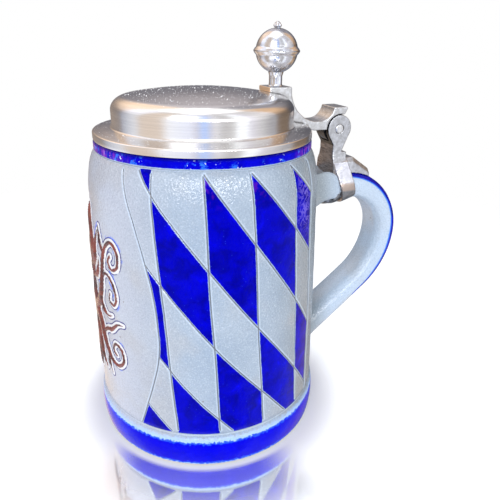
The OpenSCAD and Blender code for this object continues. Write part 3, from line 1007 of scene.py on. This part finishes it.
def stoneware_material():
    g = Graph("salt_glazed_stoneware")
    place = g.node("ShaderNodeSeparateXYZ", {0: g.place})
    height = place.outputs["Z"]
    ragged = g.times(g.math("SUBTRACT", g.noise(0.9, 4, 0.6), 0.5), 0.45)
    paint = g.math("ADD", g.attribute("cobalt"), ragged)
    line = g.attribute("line")
    scroll = g.attribute("scroll")
    on_foot = g.step(height, 15.6, 15.2)
    on_rim = g.step(height, 124.6, 125.0)
    wide = g.times(g.math("SUBTRACT", g.noise(0.8, 4, 0.7), 0.5), 4.2)
    broad = g.math("ADD", g.attribute("cobalt"), g.times(wide, on_foot))
    paint = g.blend(on_foot, paint, broad)
    blue = g.step(paint, 0.34, 0.56)
    fringe = g.step(paint, -0.9, 0.5, 0.0, 0.42)
    colour = pale_glaze(g)
    colour = g.mix(fringe, colour, (0.30, 0.46, 0.74))
    foot_fade = g.times(on_foot, g.step(paint, -2.6, 0.3))
    colour = g.mix(foot_fade, colour, (0.34, 0.53, 0.90))
    colour = g.mix(blue, colour, cobalt_glaze(g))
    azure_edge = g.times(
        g.times(g.step(paint, 0.1, 0.5), g.step(paint, 1.6, 0.6)),
        g.math("ADD", on_foot, g.step(line, 5.5, 5.9)), True
    )
    colour = g.mix(g.times(azure_edge, 0.9), colour, AZURE)
    colour = rim_flecks_and_painted_light(g, colour, g.times(on_rim, blue))
    # Painted reflection: purplish tint on the blue near the top of the lozenges
    top_purple_reflection = g.times(g.step(height, 111, 121), g.step(height, 124.5, 123.5))
    top_purple_reflection = g.times(top_purple_reflection, g.times(blue, g.step(g.noise(0.3, 3), 0.52, 0.62)))
    colour = g.mix(g.times(top_purple_reflection, 0.4), colour, (0.16, 0.01, 0.28))
    vein = g.step(
        g.math("ABSOLUTE", g.math("SUBTRACT", g.noise(0.24, 2, 0.55, distortion=1.2), 0.5)), 0.06, 0.015
    )
    beside_handle = g.times(g.step(place.outputs["X"], 20, 27), g.step(height, 92, 104))
    beside_handle = g.times(beside_handle, g.step(place.outputs["X"], 47, 44))
    vein = g.times(g.times(vein, beside_handle), g.times(blue, g.step(height, 124.5, 123.5)))
    colour = g.mix(g.times(vein, 0.6), colour, (0.22, 0.17, 0.75))
    lighter = g.math("ADD", g.times(on_foot, 0.6), g.times(on_rim, 0.2))
    colour = g.mix(g.times(lighter, blue), colour, COBALT_BRIGHT)
    # Painted highlight: paler glaze along the raised lips beside each incised line, on the pale side
    edge = g.times(g.step(line, 0.24, 0.42), g.step(line, 0.95, 0.6))
    colour = g.mix(g.times(edge, g.step(paint, 0.42, 0.1, 0.0, 0.5)), colour, (0.50, 0.60, 0.72))
    # The incised lines are darker at their core, above the foot groove
    line_core = g.mix(g.noise(0.4, 2), (0.07, 0.08, 0.10), (0.17, 0.17, 0.17))
    colour = g.mix(g.times(g.step(line, 0.32, 0.10), g.step(height, 16.4, 16.8, 0.0, 0.9)), colour, line_core)
    colour = scroll_colour(g, colour, scroll)
    clay = g.step(height, 0.9, 0.25)
    colour = g.mix(clay, colour, g.mix(g.noise(0.8, 5), CLAY, (0.55, 0.49, 0.42)))
    peel = g.noise(1.15, 1.0, 0.4)
    calm = g.blend(blue, 1.0, 0.35)
    normal = g.relief(g.times(peel, calm), 1.0, 0.26)
    normal = g.relief(g.noise(0.22, 2), 0.25, 0.5, normal)
    rough = g.blend(clay, g.blend(blue, 0.2, 0.12), 0.8)
    tint = g.mix(blue, (1, 1, 1), (0.3, 0.32, 1.0))
    shine = g.blend(blue, 0.75, 0.1)
    return g.finish(
        Base_Color=colour, Roughness=rough, Normal=normal, Specular_IOR_Level=shine, Specular_Tint=tint
    )


def scroll_colour(g, colour, scroll):
    """Red-brown stain on the raised scroll, a bare lip round it and a cobalt outline with washes outside."""
    wobble = g.math("ADD", scroll, g.times(g.math("SUBTRACT", g.noise(1.1, 3), 0.5), 0.9))
    stain = g.mix(g.step(g.noise(0.12, 4, 0.6), 0.38, 0.62), STAIN_DARK, STAIN)
    stain = g.mix(g.step(g.noise(0.3, 3), 0.55, 0.75, 0.0, 0.6), stain, (0.30, 0.10, 0.06))
    lip = g.step(scroll, 1.1, 0.8)
    colour = g.mix(g.times(lip, 0.75), colour, (0.78, 0.79, 0.82))
    outline = g.times(g.step(scroll, 0.72, 0.9), g.step(scroll, 1.42, 1.2))
    colour = g.mix(g.times(outline, g.step(g.noise(0.25, 3), 0.3, 0.45)), colour, (0.012, 0.012, 0.16))
    wash = g.times(g.step(wobble, 2.6, 1.2), g.step(g.noise(0.13, 3), 0.56, 0.68))
    colour = g.mix(g.times(wash, g.step(scroll, 0.9, 1.2)), colour, (0.05, 0.14, 0.75))
    return g.mix(g.step(wobble, 0.1, -0.25), colour, stain)


def spun_pewter():
    """Pewter turned on a lathe: fine rings and streaks round the lid's axis, and painted shade on the lid's
    inner faces.
    """
    g = Graph("pewter_spun")
    place = g.node("ShaderNodeSeparateXYZ", {0: g.place})
    radius = g.node(
        "ShaderNodeVectorMath", {0: g.vector("MULTIPLY", g.place, (1, 1, 0))}, operation="LENGTH"
    ).outputs["Value"]
    rings = g.node("ShaderNodeCombineXYZ", {"X": radius, "Y": place.outputs["Z"], "Z": 0.0}).outputs[0]
    fine = g.noise(5.5, 4, 0.65, rings)
    cloud = g.noise(0.05, 4, 0.6)
    colour = g.mix(cloud, (0.70, 0.685, 0.665), (0.80, 0.795, 0.80))
    pits = g.step(g.noise(1.6, 2), 0.22, 0.3, 0.5, 0.0)
    colour = g.mix(pits, colour, (0.30, 0.28, 0.26))
    own_normal = g.node("ShaderNodeTexCoord").outputs["Normal"]
    upward = g.node("ShaderNodeSeparateXYZ", {0: own_normal}).outputs["Z"]
    dust = g.times(g.step(g.spots(0.62), 0.15, 0.09, 0.0, 0.7), g.step(g.noise(0.3, 2), 0.42, 0.52))
    dust = g.times(dust, g.step(upward, 0.85, 0.95))
    colour = g.mix(dust, colour, (1.0, 1.0, 1.0))
    tangent = g.node("ShaderNodeTangent", direction_type="RADIAL", axis="Z").outputs[0]
    rough = g.blend(dust, g.blend(fine, 0.12, 0.26), 0.95)
    colour = g.mix(g.step(g.noise(1.4, 3, 0.6, rings), 0.42, 0.62, 0.0, 0.22), colour, (0.55, 0.54, 0.56))
    from_middle = g.vector("NORMALIZE", g.vector("SUBTRACT", g.place, (0.0, 0.0, 128.0)))
    outward = g.node(
        "ShaderNodeVectorMath", {0: own_normal, 1: from_middle}, operation="DOT_PRODUCT"
    ).outputs["Value"]
    # Painted shade: the lid's inner faces, turned towards its middle, are darkened and made duller
    under = g.step(outward, 0.02, -0.05)
    colour = g.mix(g.times(under, 0.85), colour, (0.17, 0.165, 0.16))
    dust = g.times(dust, g.math("SUBTRACT", 1.0, under))
    normal = g.relief(fine, 0.2, 0.035)
    normal = g.relief(g.noise(0.9, 3, 0.6, rings), 0.25, 0.05, normal)
    normal = g.relief(g.noise(0.14, 2), 0.1, 0.6, normal)
    rough = g.blend(under, rough, 0.45)
    metal = g.math("SUBTRACT", 1.0, dust)
    return g.finish(
        Base_Color=colour, Metallic=metal, Roughness=rough, Anisotropic=0.45, Tangent=tangent, Normal=normal
    )


def cast_pewter(name, tint=(0.60, 0.61, 0.63), dark=(0.46, 0.46, 0.46), marks_and_shade=None, crevice_shade=0.85, polish=0.0):
    """Cast and filed pewter: file marks, soft dents and painted shade in its crevices; a part's own function
    may paint its marks and painted shade.
    """
    g = Graph(name)
    cloud = g.noise(0.55, 4, 0.6)
    colour = g.mix(g.step(cloud, 0.35, 0.7), dark, tint)
    colour = marks_and_shade(g, colour) if marks_and_shade else colour
    # Painted shade: colour darkens to near black where ambient occlusion finds crevices
    corner = g.node("ShaderNodeAmbientOcclusion", {"Distance": 4.0 * MM}).outputs["AO"]
    colour = g.mix(g.step(corner, 0.2, 0.7, crevice_shade, 0.0), colour, (0.055, 0.05, 0.048))
    stretched = g.vector("MULTIPLY", g.place, (1.0, 1.0, 7.0))
    files = g.noise(0.9, 4, 0.7, stretched)
    rough = g.blend(files, 0.26 - 0.16 * polish, 0.48 - 0.26 * polish)
    normal = g.relief(files, 0.3 - 0.2 * polish, 0.06)
    normal = g.relief(g.noise(0.6, 3), 0.3 - 0.18 * polish, 0.35, normal)
    return g.finish(Base_Color=colour, Metallic=1.0, Roughness=rough, Normal=normal)


def clamp_wear_and_shade(g, colour):
    """The rubbed bright strap, its brown and dark lower end, tarnished faces towards the body darkened by
    painted shade, and near-black painted shade in the hinge gap above.
    """
    place = g.node("ShaderNodeSeparateXYZ", {0: g.place})
    z = place.outputs["Z"]
    on_side = g.step(g.math("ABSOLUTE", place.outputs["Y"]), 6.9, 7.25)
    facing = g.node(
        "ShaderNodeSeparateXYZ", {0: g.node("ShaderNodeNewGeometry").outputs["Normal"]}
    ).outputs["X"]
    strap_edge = g.math("ADD", place.outputs["X"], g.times(z, 0.287))
    on_strap = g.times(on_side, g.step(strap_edge, 91.5, 91.8))
    strap = g.times(on_strap, g.step(z, 113.7, 113.2))
    colour = g.mix(strap, colour, g.mix(g.noise(0.35, 3), (0.42, 0.42, 0.48), (0.62, 0.63, 0.67)))
    beside = g.times(g.step(strap_edge, 91.8, 91.5), g.step(z, 114.0, 112.5))
    colour = g.mix(g.times(beside, 0.8), colour, (0.20, 0.18, 0.17))
    bevel = g.times(on_side, g.times(g.step(z, 114.6, 114.3), g.step(z, 113.4, 113.7)))
    colour = g.mix(g.times(bevel, 0.7), colour, (0.33, 0.26, 0.22))
    colour = g.mix(g.step(z, 105.0, 103.6, 0.0, 0.85), colour, (0.40, 0.31, 0.25))
    colour = g.mix(
        g.step(z, 101.4, 100.2), colour, g.mix(g.noise(0.7, 4), (0.10, 0.105, 0.11), (0.34, 0.35, 0.37))
    )
    # Tarnished streaks with painted shade on the faces turned towards the body
    streak = g.noise(0.8, 4, 0.65, g.vector("MULTIPLY", g.place, (0.35, 0.35, 2.6)))
    tarnish_and_shade = g.mix(g.step(streak, 0.38, 0.62), (0.25, 0.215, 0.20), (0.52, 0.46, 0.44))
    colour = g.mix(g.step(facing, -0.5, -0.85, 0.0, 0.95), colour, tarnish_and_shade)
    # Painted shade: near black on faces turned towards the body, in the hinge gap
    return g.mix(g.times(g.step(facing, -0.2, -0.6), g.step(z, 120.6, 121.6)), colour, (0.012, 0.012, 0.013))


def shank_wear_and_shade(g, colour):
    """The barrel between the cheeks near black, tarnished and in painted shade, and the brownish end of the
    plate under the post.
    """
    z = g.node("ShaderNodeSeparateXYZ", {0: g.place}).outputs["Z"]
    facing = g.node("ShaderNodeSeparateXYZ", {0: g.node("ShaderNodeTexCoord").outputs["Normal"]}).outputs["X"]
    colour = g.mix(g.times(g.step(z, 140, 141), g.step(facing, -0.6, -0.85)), colour, (0.95, 0.72, 0.50))
    # Dark tarnish with painted shade on the barrel between the cheeks
    dark_tarnish_and_shade = g.mix(g.step(g.noise(0.9, 3), 0.5, 0.66), (0.012, 0.012, 0.014), (0.09, 0.09, 0.10))
    return g.mix(g.step(z, 128.1, 127.4), colour, dark_tarnish_and_shade)


def pin_steel():
    g = Graph("pin_steel")
    streak = g.noise(1.5, 4, 0.6, g.vector("MULTIPLY", g.place, (6.0, 0.6, 6.0)))
    colour = g.mix(streak, (0.22, 0.22, 0.23), (0.42, 0.42, 0.43))
    return g.finish(
        Base_Color=colour, Metallic=1.0, Roughness=g.blend(streak, 0.25, 0.45),
        Normal=g.relief(streak, 0.1, 0.03)
    )


# ---- Stage, light and camera ----

# The camera's place in metres, its direction, roll and lens, solved from the stein's rings in the photo
CAMERA_AT = Vector((-0.0638, -0.1963, 0.1676))
LOOK = Vector((0.3646, 0.8396, -0.4026)).normalized()
RIGHT = Vector((0.9173, -0.3983, 0)).normalized()
ROLL = math.radians(1.08)
LENS = 35.87


def make_camera():
    up = RIGHT.cross(LOOK)
    x = RIGHT * math.cos(ROLL) + up * math.sin(ROLL)
    y = up * math.cos(ROLL) - RIGHT * math.sin(ROLL)
    data = bpy.data.cameras.new("camera")
    data.lens = LENS
    data.sensor_width = 36
    data.clip_start = 0.01
    camera = link("camera", data)
    turn = Matrix((x, y, -LOOK)).transposed()
    camera.matrix_world = Matrix.Translation(CAMERA_AT) @ turn.to_4x4()
    bpy.context.scene.camera = camera


def make_floor():
    mesh = bpy.data.meshes.new("floor")
    work = bmesh.new()
    bmesh.ops.create_circle(work, cap_ends=True, radius=0.6, segments=96)
    work.to_mesh(mesh)
    work.free()
    floor = link("floor", mesh)
    floor.visible_glossy = False
    g = Graph("pale_floor")
    grain = g.noise(0.02, 2)
    colour = g.mix(grain, (0.90, 0.90, 0.90), (0.93, 0.93, 0.93))
    distance = g.node("ShaderNodeVectorMath", {0: g.place}, operation="LENGTH").outputs["Value"]
    toward_camera = g.dot(g.vector("NORMALIZE", g.place), (-LOOK.x, -LOOK.y, 0))
    in_front = g.step(toward_camera, 0.60, 0.84)
    sheen = g.times(g.step(distance, 98, 60, 0.0, 0.85), g.times(in_front, g.step(distance, 51.6, 54.5)))
    glossy = g.node("ShaderNodeBsdfGlossy", {"Color": (0.86, 0.86, 0.88), "Roughness": 0.07})
    # Painted shadow: the floor is darker, and glows less, in a ring round the foot
    contact_shadow = g.step(distance, 72, 51.5, 0.0, 0.5)
    colour = g.mix(contact_shadow, colour, (0.22, 0.21, 0.18))
    glow = g.mix(contact_shadow, (1, 1, 0.99), (0.3, 0.3, 0.29))
    g.finish(
        Base_Color=colour, Roughness=0.9, Specular_IOR_Level=0.0, Emission_Color=glow, Emission_Strength=0.29
    )
    near = g.node("ShaderNodeMixShader", {0: sheen, 1: g.shader.outputs[0], 2: glossy.outputs[0]})
    clear = g.node("ShaderNodeBsdfTransparent")
    fade = g.step(distance, 180, 420)
    mixed = g.node("ShaderNodeMixShader", {0: fade, 1: near.outputs[0], 2: clear.outputs[0]})
    output = next(n for n in g.tree.nodes if n.type == "OUTPUT_MATERIAL")
    g.tree.links.new(mixed.outputs[0], output.inputs["Surface"])
    mesh.materials.append(g.material)


def area_light(name, at, target, size, power, colour=(1, 1, 1)):
    data = bpy.data.lights.new(name, "AREA")
    data.shape = "RECTANGLE"
    data.size, data.size_y = size
    data.energy = power
    data.color = colour
    light = link(name, data)
    light.location = at
    light.rotation_euler = (Vector(target) - Vector(at)).to_track_quat("-Z", "Y").to_euler()


# What shiny parts see by height of the ray, from straight down to straight up
ROOM_BEHIND = [
    (0.0, (0.75, 0.74, 0.74)), (0.28, (0.80, 0.80, 0.82)), (0.38, (0.27, 0.275, 0.305)),
    (0.54, (0.21, 0.215, 0.245)),
    (0.62, (0.27, 0.265, 0.285)), (0.66, (0.50, 0.47, 0.47)), (0.72, (0.75, 0.71, 0.70)),
    (0.80, (1.0, 0.95, 0.94)),
    (1.0, (0.9, 0.88, 0.9)),
]
ROOM_BEFORE = [
    (0.0, (0.9, 0.9, 0.9)), (0.30, (1.0, 1.0, 1.0)), (0.90, (1.0, 1.0, 1.0)), (1.0, (0.9, 0.88, 0.9))
]
AMBER, SLATE, PEARL = (1.0, 0.70, 0.44), (0.42, 0.42, 0.46), (0.88, 0.86, 0.87)
WARM, WHITE, GLARE = (0.95, 0.80, 0.68), (1.25, 1.28, 1.36), (1.5, 1.55, 1.6)
COOL, GREY, DUSK = (0.62, 0.88, 1.5), (0.74, 0.72, 0.72), (0.78, 0.76, 0.80)
# Upright bands of warm and cool light round the room, by turn from -X
ROOM_BANDS = [
    (0.0, WARM), (0.055, WARM), (0.08, WHITE), (0.165, (1.1, 1.15, 1.35)), (0.176, WARM), (0.19, COOL),
    (0.214, COOL),
    (0.224, WARM), (0.24, WHITE), (0.256, GREY), (0.300, GREY), (0.315, GLARE), (0.345, GLARE),
    (0.36, (0.95, 0.92, 1.05)),
    (0.40, PEARL), (0.455, PEARL), (0.47, WHITE), (0.49, AMBER), (0.56, AMBER), (0.58, SLATE), (0.66, SLATE),
    (0.68, DUSK),
    (0.735, DUSK), (0.77, (1.6, 1.25, 0.92)), (0.86, (1.5, 1.25, 1.02)), (0.885, (1.6, 1.65, 1.8)),
    (0.95, WHITE), (0.975, WARM),
    (1.0, WARM),
]


# What matt parts see, from -X to +X
SOFT_ACROSS = [(0.15, (0.93, 0.94, 0.97)), (0.55, (0.80, 0.82, 0.84)), (0.95, (0.50, 0.52, 0.54))]


def make_world():
    """White for the camera, even light for matt surfaces, and a room with bands for reflections."""
    world = bpy.data.worlds.new("studio")
    bpy.context.scene.world = world
    world.use_nodes = True
    w = Nodes(world.node_tree)
    direction = w.node("ShaderNodeTexCoord").outputs["Generated"]
    x, y, z = w.node("ShaderNodeSeparateXYZ", {0: direction}).outputs
    height = w.span(z, -1, 1)
    before = w.span(w.dot(direction, (-LOOK.x, -LOOK.y, 0)), -0.35, 0.25)
    room = w.mix(before, w.ramp(height, ROOM_BEHIND), w.ramp(height, ROOM_BEFORE))
    turn = w.span(w.math("ARCTAN2", y, x), -math.pi, math.pi)
    tinted = w.mix(w.span(z, 0.98, 0.80), room, w.ramp(turn, ROOM_BANDS), "MULTIPLY")
    path = w.node("ShaderNodeLightPath").outputs
    soft = w.mix(path["Is Glossy Ray"], w.ramp(w.span(x, -1, 1), SOFT_ACROSS), tinted)
    seen = w.mix(path["Is Camera Ray"], soft, (1.0, 1.0, 1.0))
    w.feed(w.tree.nodes["Background"].inputs["Color"], seen)


def make_lights():
    area_light("key", (-0.55, -0.55, 0.75), (0, 0, 0.08), (0.5, 0.5), 0.9)
    area_light("fill", (0.7, -0.6, 0.5), (0, 0, 0.08), (0.7, 0.7), 0.3, (1.0, 0.98, 0.95))
    area_light("top", (-0.02, 0.05, 0.9), (0, 0, 0.1), (0.6, 0.6), 1.2)
    for pane, turn in enumerate((-128, -112, -94, -78)):
        at = (0.72 * math.cos(math.radians(turn)), 0.72 * math.sin(math.radians(turn)), 0.36)
        area_light(f"pane_{pane}", at, (0, 0, 0.115), (0.13, 0.12), 0.8)


make_mug()
CAST = cast_pewter("pewter_filed", marks_and_shade=shank_wear_and_shade, crevice_shade=0.2)
CLAMP = cast_pewter("pewter_clamp", (0.54, 0.555, 0.59), (0.38, 0.385, 0.40), marks_and_shade=clamp_wear_and_shade)
BALL = cast_pewter("pewter_ball", (0.71, 0.74, 0.81), (0.58, 0.58, 0.60), crevice_shade=0.6, polish=1.0)
PLUG = cast_pewter("pewter_plug", (0.70, 0.71, 0.73), (0.55, 0.55, 0.55), crevice_shade=0.6)
SEAM = cast_pewter("pewter_seam", (0.36, 0.37, 0.39), (0.12, 0.125, 0.13))
make_turned_parts(spun_pewter(), BALL)
lid_grit(560, grit_material())
solder_bead("strap_seam", (64.2, -0.6, 95.3), (7.5, 8.4, 2.3, 0.055), 16, "stein", SEAM)
solder_bead("shank_seam", (41.4, 0.0, 130.9), (6.6, 7.9, 1.3, 0.0), 0, "lid_assembly", PLUG)
soften("lid_shank", 0.26, 6, CAST, 0.12)
soften("handle_clamp", 0.28, 6, CLAMP, 0.12)
soften("finial", 0.12, 4, BALL)
soften("pin_plug_near", 0.12, 3, PLUG)
soften("pin_plug_far", 0.12, 3, PLUG)
soften("hinge_pin", 0.15, 2, pin_steel())
make_floor()
make_world()
make_lights()
make_camera()
bpy.context.scene.view_settings.view_transform = "Standard"
